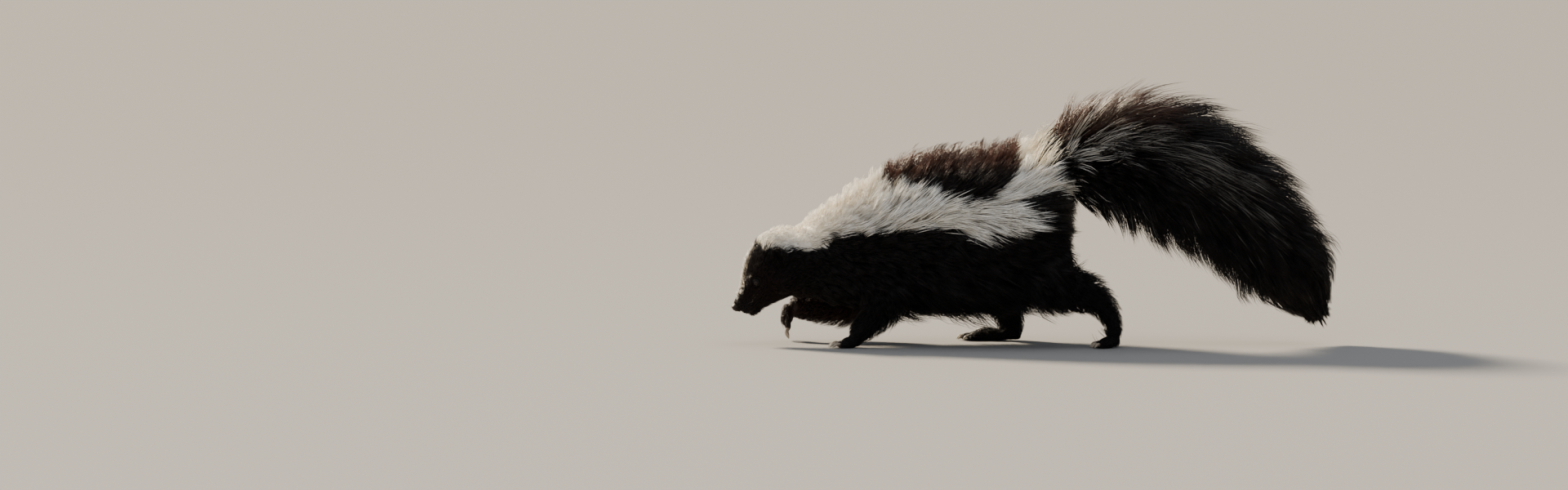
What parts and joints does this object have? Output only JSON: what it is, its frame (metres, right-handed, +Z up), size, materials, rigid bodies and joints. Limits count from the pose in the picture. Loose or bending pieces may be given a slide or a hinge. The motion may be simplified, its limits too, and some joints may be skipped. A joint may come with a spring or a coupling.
{
  "type": "striped skunk",
  "caption": "Life-size striped skunk walking with its nose near the ground, one forefoot lifted and the bushy tail arched out behind.",
  "frame": {"origin": "centre of the bounding box at floor level", "axes": "+Z up, the animal faces -X, its left side is -Y"},
  "size_m": [0.6255, 0.1637, 0.2709],
  "materials": {
    "black_fur": "coarse glossy black-brown guard hair",
    "white_fur": "long soft cream-white hair",
    "bare_skin": "damp dark purple-brown bare skin",
    "eye": "wet black-brown eye",
    "claw": "worn grey-brown horn"
  },
  "bodies": {
    "root": {"head": "black_fur", "nose": "bare_skin", "ear_left": "black_fur", "ear_right": "black_fur", "eye_left": "eye", "eye_right": "eye", "neck": "white_fur", "torso": "black_fur", "foreleg_left": "black_fur", "foreleg_right": "black_fur", "forepaw_left": "bare_skin", "forepaw_right": "bare_skin", "hindleg_left": "black_fur", "hindleg_right": "black_fur", "hindpaw_left": "bare_skin", "hindpaw_right": "bare_skin", "tail": "black_fur"}
  },
  "joints": []
}
